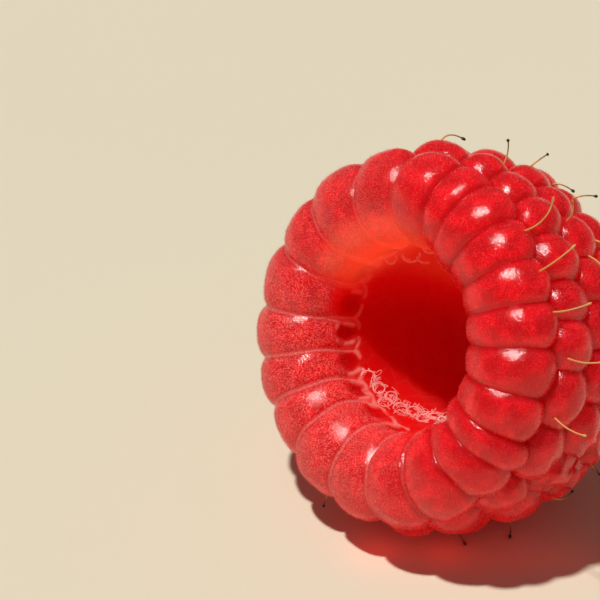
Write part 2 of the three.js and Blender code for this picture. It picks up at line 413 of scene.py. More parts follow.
def set_points(mesh, points):
    mesh.vertices.foreach_set("co", (points * MM).astype(np.float32).ravel())
    mesh.update()


def point_normals(mesh):
    normals = np.zeros(len(mesh.vertices) * 3, np.float32)
    mesh.vertex_normals.foreach_get("vector", normals)
    return normals.reshape(-1, 3).astype(float)


def joined(base, others):
    """The union of solid meshes, as one mesh."""
    folder = bpy.data.collections.new("joined_solids")
    solids = [bpy.data.objects.new(mesh.name, mesh) for mesh in others]
    for solid in solids:
        folder.objects.link(solid)
    whole = new_object("joined_whole", base)
    union = whole.modifiers.new("union", "BOOLEAN")
    union.operation = "UNION"
    union.operand_type = "COLLECTION"
    union.solver = "MANIFOLD"
    union.collection = folder
    bpy.context.scene.collection.children.link(folder)
    bpy.context.view_layer.update()
    graph = bpy.context.evaluated_depsgraph_get()
    mesh = bpy.data.meshes.new_from_object(whole.evaluated_get(graph))
    for solid in solids + [whole]:
        old = solid.data
        bpy.data.objects.remove(solid)
        bpy.data.meshes.remove(old)
    bpy.data.collections.remove(folder)
    return mesh


def keep_largest_shell(mesh):
    """Drops the small closed gaps that joining leaves inside the flesh."""
    ends = np.zeros(len(mesh.edges) * 2, np.int32)
    mesh.edges.foreach_get("vertices", ends)
    one, other = ends.reshape(-1, 2).T
    shell = np.arange(len(mesh.vertices))
    while True:
        least = np.minimum(shell[one], shell[other])
        before = shell.copy()
        np.minimum.at(shell, one, least)
        np.minimum.at(shell, other, least)
        shell = shell[shell]
        if (shell == before).all():
            break
    largest = np.bincount(shell).argmax()
    work = bmesh.new()
    work.from_mesh(mesh)
    loose = [point for point, label in zip(work.verts, shell) if label != largest]
    bmesh.ops.delete(work, geom=loose, context="VERTS")
    work.to_mesh(mesh)
    work.free()


def crease_distance(mesh, reach=1.5):
    """How far each point is from the nearest crease, in millimetres, up to a reach."""
    points = mesh_points(mesh)
    faces = np.zeros(len(mesh.polygons) * 3, np.float32)
    mesh.polygons.foreach_get("normal", faces)
    faces = faces.reshape(-1, 3)
    edge_of = np.zeros(len(mesh.loops), np.int32)
    mesh.loops.foreach_get("edge_index", edge_of)
    start = np.zeros(len(mesh.polygons), np.int32)
    total = np.zeros(len(mesh.polygons), np.int32)
    mesh.polygons.foreach_get("loop_start", start)
    mesh.polygons.foreach_get("loop_total", total)
    face_of = np.repeat(np.arange(len(total)), total)
    order = np.argsort(edge_of, kind="stable")
    uses = np.bincount(edge_of, minlength=len(mesh.edges))
    first = np.minimum(np.cumsum(uses) - uses, len(order) - 2)
    one, other = face_of[order[first]], face_of[order[first + 1]]
    sharp = (uses == 2) & ((faces[one] * faces[other]).sum(1) < math.cos(CREASE_ANGLE))
    ends = np.zeros(len(mesh.edges) * 2, np.int32)
    mesh.edges.foreach_get("vertices", ends)
    ends = ends.reshape(-1, 2)[sharp]
    spots = points[ends]
    marks = np.vstack([spots[:, 0] * (1 - s) + spots[:, 1] * s for s in (0, 0.5, 1)])
    tree = KDTree(len(marks))
    for index, mark in enumerate(marks):
        tree.insert(mark, index)
    tree.balance()
    found = np.array([tree.find(point)[2] for point in points])
    return np.minimum(found, reach)


def rim_angle(points):
    """Degrees round the rim's tube: 0 outside, 90 at its crest, 180 inside."""
    berry = to_berry(points)
    radius = np.hypot(berry[:, 0], berry[:, 1])
    angle = np.degrees(np.arctan2(berry[:, 2] - RIM_FORWARD, radius - RIM_RADIUS))
    return np.where(angle < -100, angle + 360, angle)


def in_hollow(points):
    """Whether points lie on the inner side of the rim or on the wall of the hollow."""
    berry = to_berry(points)
    radius = np.hypot(berry[:, 0], berry[:, 1])
    depth = np.minimum(berry[:, 2], 0)
    return np.hypot(radius / RIM_RADIUS, depth / HOLLOW_DEPTH) < 1


def azimuth_of(points):
    berry = to_berry(points)
    return np.degrees(np.arctan2(berry[:, 0], berry[:, 1])) % 360


def dents(points):
    """1 in the sunken ovals of the inner ends and 0 outside them."""
    ends = np.array((*RIM_CREASES, RIM_CREASES[0] + 360))
    turned = (azimuth_of(points) - ends[0]) % 360 + ends[0]
    index = np.clip(np.searchsorted(ends, turned, side="right") - 1, 0, len(ends) - 2)
    middle, half = (ends[index] + ends[index + 1]) / 2, (ends[index + 1] - ends[index]) / 2
    angle = rim_angle(points)
    down = np.degrees(np.tan(np.radians(np.clip(angle - 180, 0, 60))))
    step = np.where(angle > 180, 180 + down, angle)
    oval = np.hypot((step - DENT_STEP) / DENT_STEPS,
                    (turned - middle) / (half * OVERLAP * DENT_WIDTH))
    return 1 - smooth(oval, 0.5, 1.0)


def bloom(points):
    """How thick the pale down is, from 0 to 1, and how pale it is painted where the light falls on it: most
    on the lower left of the rim.
    """
    azimuth = azimuth_of(points)
    low_left = smooth(96 - np.abs(azimuth - 216), 0, 60)
    upper_left = smooth(60 - np.abs(azimuth - 305), 0, 45)
    angle = rim_angle(points)
    rim = smooth(angle, 5, 60) * ((angle < 120) | in_hollow(points))
    return 0.12 + 0.74 * rim * np.maximum(low_left, 0.5 * upper_left)


def lit_through(points):
    """How much light comes through the thin top of the rim, from 0 to 1."""
    top = smooth(75 - np.abs((azimuth_of(points) - 325 + 180) % 360 - 180), 0, 60)
    angle = rim_angle(points)
    inner = smooth(angle, 75, 145) * (1 - 0.8 * smooth(angle, 195, 235))
    radius = np.hypot(*to_berry(points)[:, :2].T)
    deep = 0.35 * top * smooth(angle, 195, 235) * smooth(radius, 0.5, 4.5)
    return (top * inner + deep) * in_hollow(points)


# Shaders


class Wire:
    """An output socket that takes part in Python expressions."""

    def __init__(self, shader, socket):
        self.shader = shader
        self.socket = socket

    def math(self, operation, *values):
        return self.shader.node("ShaderNodeMath", {"operation": operation},
                                dict(enumerate(values)))

    def __add__(self, other):
        return self.math("ADD", self, other)

    __radd__ = __add__

    def __sub__(self, other):
        return self.math("SUBTRACT", self, other)

    def __rsub__(self, other):
        return self.math("SUBTRACT", other, self)

    def __mul__(self, other):
        return self.math("MULTIPLY", self, other)

    __rmul__ = __mul__

    def __truediv__(self, other):
        return self.math("DIVIDE", self, other)

    def __pow__(self, other):
        return self.math("POWER", self, other)

    def most(self, other):
        return self.math("MAXIMUM", self, other)

    def step(self, low, high):
        """0 below low and 1 above high, with a soft step between them."""
        return self.shader.node(
            "ShaderNodeMapRange", {"interpolation_type": "SMOOTHSTEP"},
            {"Value": self, "From Min": low, "From Max": high})


class Shader:
    """The nodes of one material."""

    def __init__(self, name):
        self.material = bpy.data.materials.new(name)
        self.material.use_nodes = True
        self.tree = self.material.node_tree
        self.tree.nodes.clear()

    def node(self, kind, settings=None, values=None, output=0):
        """A node of a type, its settings set first, then its sockets' values or links."""
        made = self.tree.nodes.new(kind)
        for name, setting in (settings or {}).items():
            if name == "stops":
                ramp = made.color_ramp.elements
                while len(ramp) < len(setting):
                    ramp.new(0.5)
                for stop, (position, colour) in zip(ramp, setting):
                    stop.position = position
                    stop.color = colour
            else:
                setattr(made, name, setting)
        for name, value in (values or {}).items():
            if isinstance(value, Wire):
                self.tree.links.new(value.socket, made.inputs[name])
            else:
                made.inputs[name].default_value = value
        return Wire(self, made.outputs[output])

    def attribute(self, name):
        return self.node("ShaderNodeAttribute", {"attribute_name": name}, output="Fac")

    def place(self):
        """Where a point is, in millimetres."""
        position = self.node("ShaderNodeTexCoord", output="Object")
        return self.node("ShaderNodeVectorMath", {"operation": "SCALE"},
                         {0: position, "Scale": 1 / MM})

    def noise(self, place, grain, detail=2.0, roughness=0.5):
        """Noise whose grains are so many millimetres across."""
        return self.node("ShaderNodeTexNoise", None, {
            "Vector": place, "Scale": 1 / grain, "Detail": detail, "Roughness": roughness})

    def cells(self, place, grain, feature="F1"):
        return self.node("ShaderNodeTexVoronoi", {"feature": feature},
                         {"Vector": place, "Scale": 1 / grain})

    def blend(self, factor, first, second, kind="MIX"):
        """A colour between two."""
        return self.node("ShaderNodeMix", {"data_type": "RGBA", "blend_type": kind},
                         {0: factor, 6: first, 7: second}, output=2)

    def bump(self, height, distance, normal=None, strength=1.0):
        values = {"Height": height, "Distance": distance * MM, "Strength": strength}
        if normal is not None:
            values["Normal"] = normal
        return self.node("ShaderNodeBump", None, values)

    def principled(self, **values):
        """A Principled shader with these values on its sockets."""
        names = {key.replace("_", " ").title().replace("Ior", "IOR"): value
                 for key, value in values.items()}
        return self.node("ShaderNodeBsdfPrincipled", None, names)

    def finish(self, surface):
        """The material with this surface."""
        output = self.tree.nodes.new("ShaderNodeOutputMaterial")
        self.tree.links.new(surface.socket, output.inputs["Surface"])
        return self.material


def rgba(colour):
    return (*colour[:3], 1.0)


def flesh_material(looks):
    """Deep red flesh under a grain of pale down, smooth and bare in the hollow."""
    shader = Shader("raspberry_flesh")
    place = shader.place()
    inner = shader.attribute("inner")
    crease = shader.attribute("crease")
    shade = shader.attribute("shade")
    bloom = shader.attribute("bloom")
    dent = shader.attribute("dent")
    glow = shader.attribute("glow")
    fine = shader.noise(place, 0.075, 1.0, 0.5)
    coarse = shader.noise(place, 0.9, 2.0)
    net = shader.cells(place, 1.1, "DISTANCE_TO_EDGE")
    away = crease.step(0.06, 0.4)
    body = shader.blend(coarse.step(0.35, 0.7), rgba(looks.flesh_dark), rgba(looks.flesh_light))
    body = shader.blend((shade * 0.5 + 0.5) * 0.3, body, rgba(looks.flesh_dark))
    # Painted shade: the skin beside the creases, where the drupelets shade each other, is painted darker and
    # is given less grain
    body = shader.blend((1 - away) * 0.8, body, rgba(looks.crease_shade_colour))
    # Painted shade: the sunken ovals are painted darker, as shade in the recess; their skin also carries less
    # down
    body = shader.blend(dent * 0.7, body, rgba(looks.flesh_dark))
    # Grains of down stand pale over darker pores, painted paler where the light falls on them; the pale lines
    # along the edges of the drupelets are a painted sheen of the down seen edge-on
    pores = (1 - fine.step(0.38, 0.5)) * away
    edge = (1 - crease.step(0.03, 0.22)) * (bloom - 0.12) * (0.5 + fine.step(0.4, 0.6))
    grain = fine.step(0.52, 0.6) * (0.15 + 0.85 * away) * bloom * (1 - 0.6 * dent)
    body = shader.blend(pores * 0.6, body, rgba(looks.flesh_dark))
    body = shader.blend((0.95 * grain * (0.4 + 0.6 * coarse)).most(0.75 * edge), body,
                        rgba(looks.grain_colour))
    # Pale seams run along the edges of the inner ends, painted paler still where the light falls on the lower
    # left, and a faint net over the wall
    seams = 0.8 * (1 - crease.step(0.06, 0.3))
    threads = 0.15 * (1 - net.step(0.01, 0.09))
    seam = shader.blend((bloom - 0.2) * 1.2, rgba(looks.seam_colour), rgba(looks.grain_colour))
    wall = shader.blend(threads, rgba(looks.hollow_colour), rgba(looks.seam_colour))
    wall = shader.blend(seams, wall, seam)
    # Painted shade: the sunken ovals are painted darker on the wall as well
    wall = shader.blend(dent * 0.45, wall, rgba(looks.flesh_dark))
    lumps = shader.bump(shader.noise(place, 1.3, 1.0), 0.08)
    flesh = dict(
        ior=1.45,
        subsurface_weight=0.88,
        subsurface_radius=(1.0, 0.1, 0.06),
        subsurface_scale=8 * MM,
        # Painted glow: the skin outside the hollow glows faintly in the hollow's red, least beside the
        # creases, and the top of the rim and the hollow glow orange-red where the glow attribute is high; it
        # stands in for light that comes through the flesh
        emission_color=shader.blend(glow.most((0.05 + 0.26 * away) * (1 - inner)), (0, 0, 0, 1), shader.blend(
            glow.step(0.35, 0.8), rgba(looks.hollow_colour), rgba(looks.glow_colour))),
        emission_strength=looks.glow_strength,
    )
    skin = shader.principled(
        base_color=body,
        roughness=0.12 + 0.1 * fine,
        specular_ior_level=0.48,
        sheen_weight=0.12,
        sheen_roughness=0.35,
        sheen_tint=rgba(looks.grain_colour),
        normal=shader.bump(fine, 0.018, lumps),
        **flesh)
    lining = shader.principled(
        base_color=wall, roughness=0.42 + 0.1 * coarse, specular_ior_level=0.3,
        normal=lumps, **flesh)
    both = shader.node("ShaderNodeMixShader", None, {0: inner, 1: skin, 2: lining})
    return shader.finish(both)


def down_material(looks, name, tint, lit, strength):
    """Fine pale hairs that the light shines through, with a painted glow in place of the light of the flesh
    below them.
    """
    shader = Shader(name)
    place = shader.place()
    patches = shader.noise(place, 0.3).step(0.35, 0.65)
    colour = shader.blend(patches, rgba(looks.grain_colour), rgba(tint))
    surface = shader.principled(
        base_color=colour, roughness=0.55, emission_color=rgba(lit), emission_strength=strength)
    through = shader.node("ShaderNodeBsdfTranslucent", None, {"Color": colour})
    return shader.finish(
        shader.node("ShaderNodeMixShader", None, {0: 0.5, 1: surface, 2: through}))


def style_material(looks):
    """Dried style: golden at its root, brown, and dark at its knob."""
    shader = Shader("raspberry_style")
    along = shader.attribute("along")
    place = shader.place()
    ramp = shader.node("ShaderNodeValToRGB", {"stops": (
        (0.0, (0.78, 0.3, 0.08, 1)),
        (0.35, (0.75, 0.42, 0.13, 1)),
        (0.75, (0.22, 0.09, 0.035, 1)),
        (0.9, (0.045, 0.016, 0.008, 1)),
    )}, {"Fac": along + 0.14 * (shader.noise(place, 0.35) - 0.5)})
    fibres = shader.noise(place, 0.05)
    return shader.finish(shader.principled(
        base_color=ramp,
        roughness=0.38 + 0.25 * fibres,
        normal=shader.bump(fibres, 0.01),
    ))


def floor_material(looks):
    """Matt cream surface."""
    shader = Shader("stage_floor")
    place = shader.place()
    mottle = shader.noise(place, 30, 2.0)
    colour = shader.blend(0.06 * mottle, rgba(looks.floor_colour), (0.55, 0.5, 0.38, 1))
    return shader.finish(shader.principled(
        base_color=colour,
        roughness=0.85,
        normal=shader.bump(shader.noise(place, 0.25), 0.01),
    ))


# The photograph's view


def view_axes():
    """Directions to the camera, to the picture's right and to its top, in the frame."""
    azimuth, elevation = math.radians(VIEW_AZIMUTH), math.radians(VIEW_ELEVATION)
    back = np.array((math.sin(azimuth) * math.cos(elevation),
                     -math.cos(azimuth) * math.cos(elevation), math.sin(elevation)))
    right = np.array((math.cos(azimuth), math.sin(azimuth), 0))
    return back, right, np.cross(back, right)


def rim_centre():
    return to_frame(np.array((0, 0, RIM_FORWARD)))


def camera_place():
    """Where the camera stands and what it looks at, in millimetres."""
    back, right, up = view_axes()
    centre = rim_centre()
    aside = (RIM_PIXEL[0] - PICTURE_SIZE / 2) / PIXELS_PER_MM
    below = (RIM_PIXEL[1] - PICTURE_SIZE / 2) / PIXELS_PER_MM
    return centre + VIEW_DISTANCE * back, centre - aside * right + below * up


def pixel_ray(pixel):
    """Start and direction of the sight line through a pixel."""
    eye, target = camera_place()
    forward = (target - eye) / np.linalg.norm(target - eye)
    right = np.cross(forward, (0, 0, 1))
    right /= np.linalg.norm(right)
    up = np.cross(right, forward)
    focal = PIXELS_PER_MM * VIEW_DISTANCE
    line = (forward + right * (pixel[0] - PICTURE_SIZE / 2) / focal
            - up * (pixel[1] - PICTURE_SIZE / 2) / focal)
    return eye, line / np.linalg.norm(line)


def picture_column(point):
    """How far from the picture's left edge the camera sees a point, in pixels."""
    eye, target = camera_place()
    forward = (target - eye) / np.linalg.norm(target - eye)
    right = np.cross(forward, (0, 0, 1))
    right /= np.linalg.norm(right)
    line = point - eye
    focal = PIXELS_PER_MM * VIEW_DISTANCE
    return PICTURE_SIZE / 2 + focal * (line @ right) / (line @ forward)


# Hairs with thickness


def tube(path, radius, sides):
    """Rings of points round a path."""
    heading = np.gradient(path, axis=0)
    heading /= np.linalg.norm(heading, axis=1, keepdims=True)
    side = np.cross(heading, (0.31, 0.47, 0.83))
    side /= np.linalg.norm(side, axis=1, keepdims=True)
    other = np.cross(heading, side)
    turn = np.linspace(0, 2 * np.pi, sides, endpoint=False)[None, :, None]
    around = np.cos(turn) * side[:, None] + np.sin(turn) * other[:, None]
    return path[:, None] + np.broadcast_to(radius, len(path))[:, None, None] * around


def style_tube(root, middle, tip, dryness, thickness):
    """Rings of points and how dry they are, along a curved style with a knob at its tip."""
    along = np.array((0, 0.08, 0.18, 0.3, 0.42, 0.54, 0.66, 0.77, 0.86, 0.89, 0.92, 0.95,
                      0.98, 1.0))
    knob = 1.0 if dryness > 0.6 else 0.45
    radius = thickness / 2 * np.array((1.35, 1.2, 1.1, 1.0, 0.95, 0.88, 0.82, 0.76, 0.74,
                                       1 + 0.25 * knob, 1 + 0.85 * knob, 1 + 0.9 * knob,
                                       0.8 + 0.55 * knob, 0.05))
    t = along[:, None]
    path = (1 - t) ** 2 * root + 2 * t * (1 - t) * middle + t ** 2 * tip
    return tube(path, radius, STYLE_SIDES), np.repeat(along * dryness, STYLE_SIDES)


def curl(root, normal, draw):
    """Rings of points along a small loose curl that stands on a surface."""
    t = np.linspace(0, 1, 11)[:, None]
    one, other = np.cross(normal, draw.normal(size=(2, 3)))
    turns = draw.uniform(4, 9)
    size = draw.uniform(0.05, 0.15)
    path = (root + normal * (0.02 + draw.uniform(0.03, 0.22) * np.sin(np.pi * t))
            + size * np.cos(turns * t) * one + size * np.sin(turns * t) * other)
    return tube(path, draw.uniform(0.009, 0.02), 3)


def skin_of(name):
    """The surface of an object, for rays to meet, in millimetres."""
    mesh = bpy.data.objects[name].data
    faces = [tuple(face.vertices) for face in mesh.polygons]
    return BVHTree.FromPolygons(mesh_points(mesh).tolist(), faces)


def seen_spot(skin, pixel):
    """Where the sight line through a pixel, or one a little further in, meets the skin."""
    middle = np.array(RIM_PIXEL) + (60, 0)
    for inward in range(24):
        way = middle - pixel
        moved = np.array(pixel) + way / np.linalg.norm(way) * inward
        start, line = pixel_ray(moved)
        spot, normal, _, _ = skin.ray_cast(Vector(start), Vector(line))
        if spot:
            return np.array(spot), np.array(normal)
    raise RuntimeError(f"no skin behind the pixel {pixel}")


def joined_tubes(name, tubes):
    """One mesh of many closed tubes."""
    points, faces = [], []
    first = 0
    for rings in tubes:
        count, sides = rings.shape[:2]
        corner = first + np.arange(count * sides).reshape(count, sides)
        after = np.roll(corner, -1, axis=1)
        for ring in range(count - 1):
            for i in range(sides):
                faces.append((corner[ring, i], after[ring, i], after[ring + 1, i],
                              corner[ring + 1, i]))
        faces.append(tuple(corner[-1]))
        faces.append(tuple(corner[0, ::-1]))
        points.append(rings.reshape(-1, 3))
        first += count * sides
    mesh = new_mesh(name, np.vstack(points), faces)
    mesh.shade_smooth()
    return mesh


# Values that a user would change


class RaspberryLooks(bpy.types.PropertyGroup):
    """Sizes and colours of the raspberry and its stage."""

    flesh_light: bpy.props.FloatVectorProperty(
        name="Light flesh", description="Colour of the flesh where it is lightest",
        subtype="COLOR", default=(0.88, 0.004, 0.015), min=0, max=1)
    flesh_dark: bpy.props.FloatVectorProperty(
        name="Dark flesh", description="Colour of the flesh where it is darkest",
        subtype="COLOR", default=(0.5, 0.001, 0.006), min=0, max=1)
    hollow_colour: bpy.props.FloatVectorProperty(
        name="Hollow", description="Colour of the smooth wall of the hollow",
        subtype="COLOR", default=(0.76, 0.002, 0.003), min=0, max=1)
    seam_colour: bpy.props.FloatVectorProperty(
        name="Seams", description="Colour of the thin pale seams in the hollow",
        subtype="COLOR", default=(0.85, 0.07, 0.05), min=0, max=1)
    # Painted shade: the darker colour of the skin beside the creases
    crease_shade_colour: bpy.props.FloatVectorProperty(
        name="Crease", description="Colour of the smooth skin beside the creases",
        subtype="COLOR", default=(0.55, 0.001, 0.004), min=0, max=1)
    grain_colour: bpy.props.FloatVectorProperty(
        name="Grain", description="Colour of the fine grain on the skin",
        subtype="COLOR", default=(1.0, 0.33, 0.3), min=0, max=1)
    down_colour: bpy.props.FloatVectorProperty(
        name="Down", description="Colour of the fine pale down",
        subtype="COLOR", default=(0.98, 0.4, 0.37), min=0, max=1)
    fluff_colour: bpy.props.FloatVectorProperty(
        name="Fluff", description="Colour of the torn cottony skin round the hollow",
        subtype="COLOR", default=(0.95, 0.72, 0.68), min=0, max=1)
    down_length: bpy.props.FloatProperty(
        name="Down length", description="Length of a hair of the down, in metres",
        subtype="DISTANCE", unit="LENGTH", default=0.13 * MM, min=0.02 * MM, max=0.6 * MM,
        precision=5)
    down_count: bpy.props.IntProperty(
        name="Down hairs", description="How many hairs the down has",
        default=110000, min=1000, max=195000)
    membrane_colour: bpy.props.FloatVectorProperty(
        name="Membranes", description="Colour of the thin torn skin at the top of the hollow",
        subtype="COLOR", default=(0.96, 0.19, 0.13), min=0, max=1)
    fluff_count: bpy.props.IntProperty(
        name="Fluff curls", description="How many curls the torn skin in the hollow has",
        default=150, min=0, max=3000)
    style_thickness: bpy.props.FloatProperty(
        name="Style thickness", description="Thickness of a dried style, in metres",
        subtype="DISTANCE", unit="LENGTH", default=0.1 * MM, min=0.03 * MM, max=0.3 * MM,
        precision=5)
    floor_colour: bpy.props.FloatVectorProperty(
        name="Floor", description="Colour of the surface that the berry lies on",
        subtype="COLOR", default=(0.74, 0.68, 0.53), min=0, max=1)
    sun_strength: bpy.props.FloatProperty(
        name="Sun strength", description="Strength of the main light",
        default=3.05, min=0, max=20)
    sky_strength: bpy.props.FloatProperty(
        name="Sky strength", description="Strength of the soft light all round",
        default=0.11, min=0, max=5)
    glow_power: bpy.props.FloatProperty(
        name="Glow", description="Power of the red light that comes out through the flesh",
        subtype="POWER", unit="POWER", default=0.000034, min=0, max=1, precision=6)
    glow_colour: bpy.props.FloatVectorProperty(
        name="Glow colour", description="Colour of the light that has passed through the rim",
        subtype="COLOR", default=(1.0, 0.09, 0.03), min=0, max=1)
    # Its strength also sets the painted glow of the skin outside the hollow
    glow_strength: bpy.props.FloatProperty(
        name="Rim glow", description="Strength of the light that has passed through the rim",
        default=0.48, min=0, max=2)


# Operators


class RASPBERRY_OT_flesh(bpy.types.Operator):
    """Builds the berry's flesh, drupelet by drupelet, in place of the plain solid."""

    bl_idname = "raspberry.flesh"
    bl_label = "Flesh"

    def execute(self, context):
        spread = Spread()
        draw = np.random.default_rng(11)
        solids = []
        for index in range(len(RIM_CREASES)):
            solids.append(rim_drupelet(index, spread))
        for row, (latitude, count) in enumerate(ROWS):
            share = len(row_creases) / count
            for index in range(count):
                place = ROW_SHIFT * row + index * share
                gap = (azimuth_at(row_creases, place + share / 2)
                       - azimuth_at(row_creases, place - share / 2))
                spacing = BODY_RADIUS * math.cos(math.radians(latitude)) * gap / 2
                solids.append(body_drupelet(place, latitude, spacing, spread))
        core = new_mesh("flesh_core", *flesh_core())
        paint(core, "shade", np.zeros(len(core.vertices)))
        meshes = []
        for index, (points, faces) in enumerate(solids):
            lumps = np.stack([waves(points, 2.6, 100 + 3 * index + i) for i in range(3)], 1)
            mesh = new_mesh(f"drupelet_{index}", points + 0.035 * lumps, faces)
            paint(mesh, "shade", np.full(len(points), draw.uniform(-1, 1)))
            meshes.append(mesh)
        mesh = joined(core, meshes)
        if len(mesh.polygons) < 20000:
            raise RuntimeError("the drupelets did not join")
        keep_largest_shell(mesh)
        mesh.name = "raspberry_flesh"
        points = to_frame(mesh_points(mesh))
        for wavelength, depth, seed in ((4.5, 0.06, 1), (1.7, 0.028, 4)):
            shift = np.stack([waves(points, wavelength, seed + i) for i in range(3)], 1)
            points = points + depth * shift
        middle = to_frame(self.wrinkled_middle())
        wrinkled = 1 - smooth(np.linalg.norm(points - middle, axis=1), 1.5, WRINKLED_REACH)
        shift = np.stack([waves(points, 1.0, 31 + i, 24) for i in range(3)], 1)
        points = points + 0.2 * wrinkled[:, None] * shift
        pressed = points[:, 2] < 0
        points[pressed, 2] = 0
        set_points(mesh, points)
        angle = rim_angle(points)
        inside = in_hollow(points) & (to_berry(points)[:, 2] < RIM_FORWARD + 2)
        # The down ends further in on the lower drupelets
        end = 148 + 34 * smooth(65 - np.abs(azimuth_of(points) - 205), 0, 40)
        paint(mesh, "inner", inside * smooth(angle, end, end + 20))
        paint(mesh, "dent", inside * dents(points))
        paint(mesh, "crease", crease_distance(mesh))
        paint(mesh, "bloom", bloom(points))
        paint(mesh, "glow", lit_through(points))
        mesh.shade_smooth()
        mesh.set_sharp_from_angle(angle=CREASE_ANGLE)
        mesh.materials.clear()
        mesh.materials.append(flesh_material(context.scene.raspberry_looks))
        berry = new_object("raspberry_flesh", mesh)
        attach(berry, "root")
        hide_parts("raspberry")
        return {"FINISHED"}

    def wrinkled_middle(self):
        """Middle of the place where small drupelets crowd and fold."""
        azimuth, depth = WRINKLED_PLACE
        return around_axis(BODY_RADIUS, math.radians(azimuth), -depth)


class RASPBERRY_OT_down(bpy.types.Operator):
    """Covers the outside of the berry and its rim with fine short hairs."""

    bl_idname = "raspberry.down"
    bl_label = "Down"

    def execute(self, context):
        looks = context.scene.raspberry_looks
        flesh = bpy.data.objects["raspberry_flesh"].data
        flesh.calc_loop_triangles()
        count = len(flesh.loop_triangles)
        corners = np.zeros(count * 3, np.int32)
        flesh.loop_triangles.foreach_get("vertices", corners)
        corners = corners.reshape(-1, 3)
        points = mesh_points(flesh)
        a, b, c = (points[corners[:, i]] for i in range(3))
        cross = np.cross(b - a, c - a)
        area = np.linalg.norm(cross, axis=1) / 2
        normal = cross / np.maximum(2 * area, 1e-12)[:, None]
        bare = painted(flesh, "inner")[corners].mean(1)
        near = painted(flesh, "crease")[corners].mean(1)
        thick = painted(flesh, "bloom")[corners].mean(1)
        weight = area * thick * (1 - bare) * (0.15 + 0.85 * smooth(near, 0.05, 0.45))
        weight[(a[:, 2] < 0.02) & (b[:, 2] < 0.02)] = 0
        draw = np.random.default_rng(23)
        chosen = draw.choice(count, looks.down_count, p=weight / weight.sum())
        s, t = draw.uniform(size=(2, looks.down_count))
        fold = s + t > 1
        s[fold], t[fold] = 1 - s[fold], 1 - t[fold]
        root = (a[chosen] + s[:, None] * (b - a)[chosen] + t[:, None] * (c - a)[chosen])
        length = looks.down_length / MM * draw.uniform(0.6, 1.25, looks.down_count)
        lean = draw.normal(scale=0.55, size=(looks.down_count, 3))
        reach = normal[chosen] + lean
        reach /= np.linalg.norm(reach, axis=1, keepdims=True)
        side = np.cross(reach, draw.normal(size=(looks.down_count, 3)))
        side *= HAIR_WIDTH / 2 / np.linalg.norm(side, axis=1, keepdims=True)
        root = root - 0.01 * normal[chosen]
        tip = root + length[:, None] * reach
        hairs = np.stack((root - side, root + side, tip), 1).reshape(-1, 3)
        mesh = triangle_mesh("raspberry_down", hairs)
        # Hairs take the light as the skin below them does
        mesh.normals_split_custom_set_from_vertices(np.repeat(normal[chosen], 3, axis=0).tolist())
        # The hairs glow in the light flesh colour, a painted glow for the light of the flesh below them
        mesh.materials.append(down_material(
            looks, "raspberry_down", looks.down_colour, looks.flesh_light, 0.4))
        down = new_object("raspberry_down", mesh)
        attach(down, "root")
        return {"FINISHED"}


class RASPBERRY_OT_fluff(bpy.types.Operator):
    """Lays the torn skin round the hollow: thin membranes above, cottony curls below."""

    bl_idname = "raspberry.fluff"
    bl_label = "Torn skin"

    def execute(self, context):
        looks = context.scene.raspberry_looks
        skin = skin_of("raspberry_flesh")
        membranes = joined_tubes("raspberry_membranes",
                                 [self.loop(skin, *loop, 0.08) for loop in SEEN_MEMBRANES])
        curls = [self.loop(skin, *loop, 0.035) for loop in SEEN_RINGS]
        draw = np.random.default_rng(57)
        for _ in range(looks.fluff_count):
            middle, size, start, end = SEEN_RINGS[draw.integers(len(SEEN_RINGS))]
            angle = math.radians(draw.uniform(start, end))
            pixel = np.array(middle) + size * np.array((math.cos(angle), math.sin(angle)))
            pixel += draw.normal(scale=FLUFF_SPREAD, size=2)
            curls.append(curl(*seen_spot(skin, pixel), draw))
        fluff = joined_tubes("raspberry_fluff", curls)
        for mesh, tint in ((membranes, looks.membrane_colour), (fluff, looks.fluff_colour)):
            # The membranes and curls glow faintly in their own colour, a painted glow
            mesh.materials.append(down_material(looks, mesh.name, tint, tint, 0.25))
            piece = new_object(mesh.name, mesh)
            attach(piece, "root")
        return {"FINISHED"}

    def loop(self, skin, middle, size, start, end, radius):
        """A tube along a part of an oval seen in the picture, on the skin or just above it."""
        lines, reaches = [], []
        for angle in np.radians(np.linspace(start, end, LOOP_STEPS)):
            pixel = (middle[0] + size[0] * math.cos(angle), middle[1] + size[1] * math.sin(angle))
            eye, line = pixel_ray(pixel)
            lines.append(line)
            reaches.append(np.linalg.norm(seen_spot(skin, pixel)[0] - eye))
        chord = np.linspace(reaches[0], reaches[-1], LOOP_STEPS)
        nearest = max(reaches) - LOOP_LIFT
        reaches = np.maximum(np.minimum(reaches, chord), nearest) - 0.5 * radius
        return tube(eye + reaches[:, None] * np.array(lines), radius, 5)


